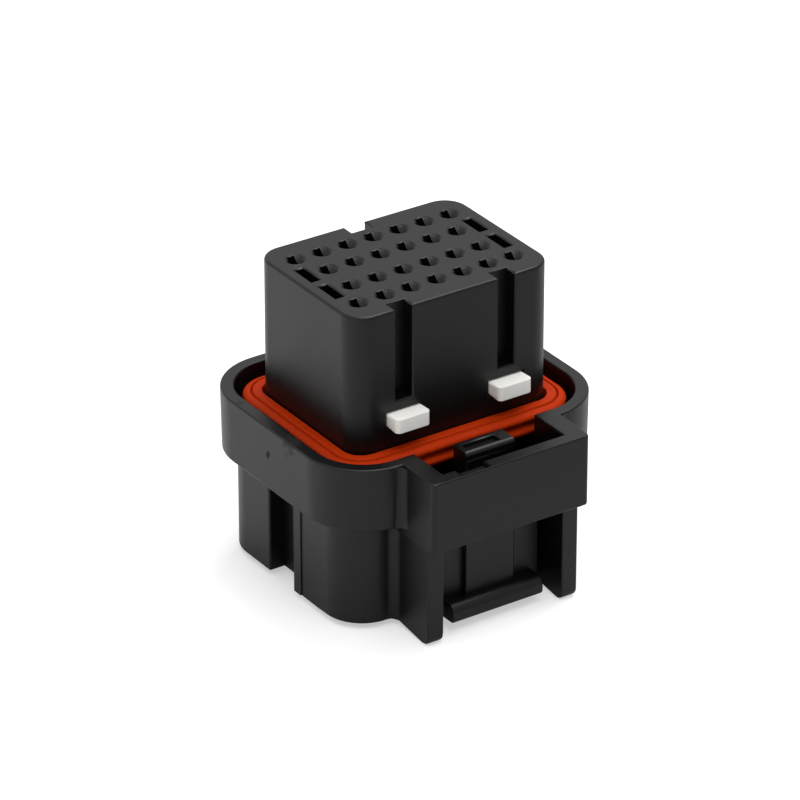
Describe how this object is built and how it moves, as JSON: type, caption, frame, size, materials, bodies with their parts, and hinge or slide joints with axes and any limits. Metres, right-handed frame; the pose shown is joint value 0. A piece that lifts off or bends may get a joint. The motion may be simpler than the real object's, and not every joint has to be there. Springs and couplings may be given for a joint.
{
  "type": "sealed rectangular connector plug",
  "caption": "Sealed rectangular connector plug with dished contact slots in a tall nose, a ribbed face seal inside an open hood, lock tabs and a rocking latch in a bridge bay.",
  "frame": {"origin": "middle of the rear cover's face, level with the feet of the rails, under the middle of the contact field", "axes": "+Z towards the mating face, +X along the contact rows, -Y towards the latch"},
  "size_m": [0.0318, 0.0319, 0.0325],
  "materials": {
    "housing": "satin moulded black plastic",
    "lever": "satin moulded black plastic",
    "lock": "moulded ivory plastic",
    "face_seal": "red orange silicone",
    "wire_seal": "red orange silicone",
    "cover": "satin moulded black plastic"
  },
  "bodies": {
    "body": {"housing": "housing", "interface_seal": "face_seal", "wire_seal": "wire_seal", "rear_cover": "cover"},
    "lever": {"latch_lever": "lever"},
    "lock": {"secondary_lock": "lock"}
  },
  "joints": [
    {"name": "lever_press", "type": "hinge", "parent": "body", "child": "lever", "pos_m": [0, -0.01397, 0.0112], "axis": [1, 0, 0], "range_deg": [0, 8], "stiffness_Nm_per_rad": 1},
    {"name": "lock_slide", "type": "slide", "parent": "body", "child": "lock", "axis": [0, 1, 0], "range_m": [0, 0.00175]}
  ]
}
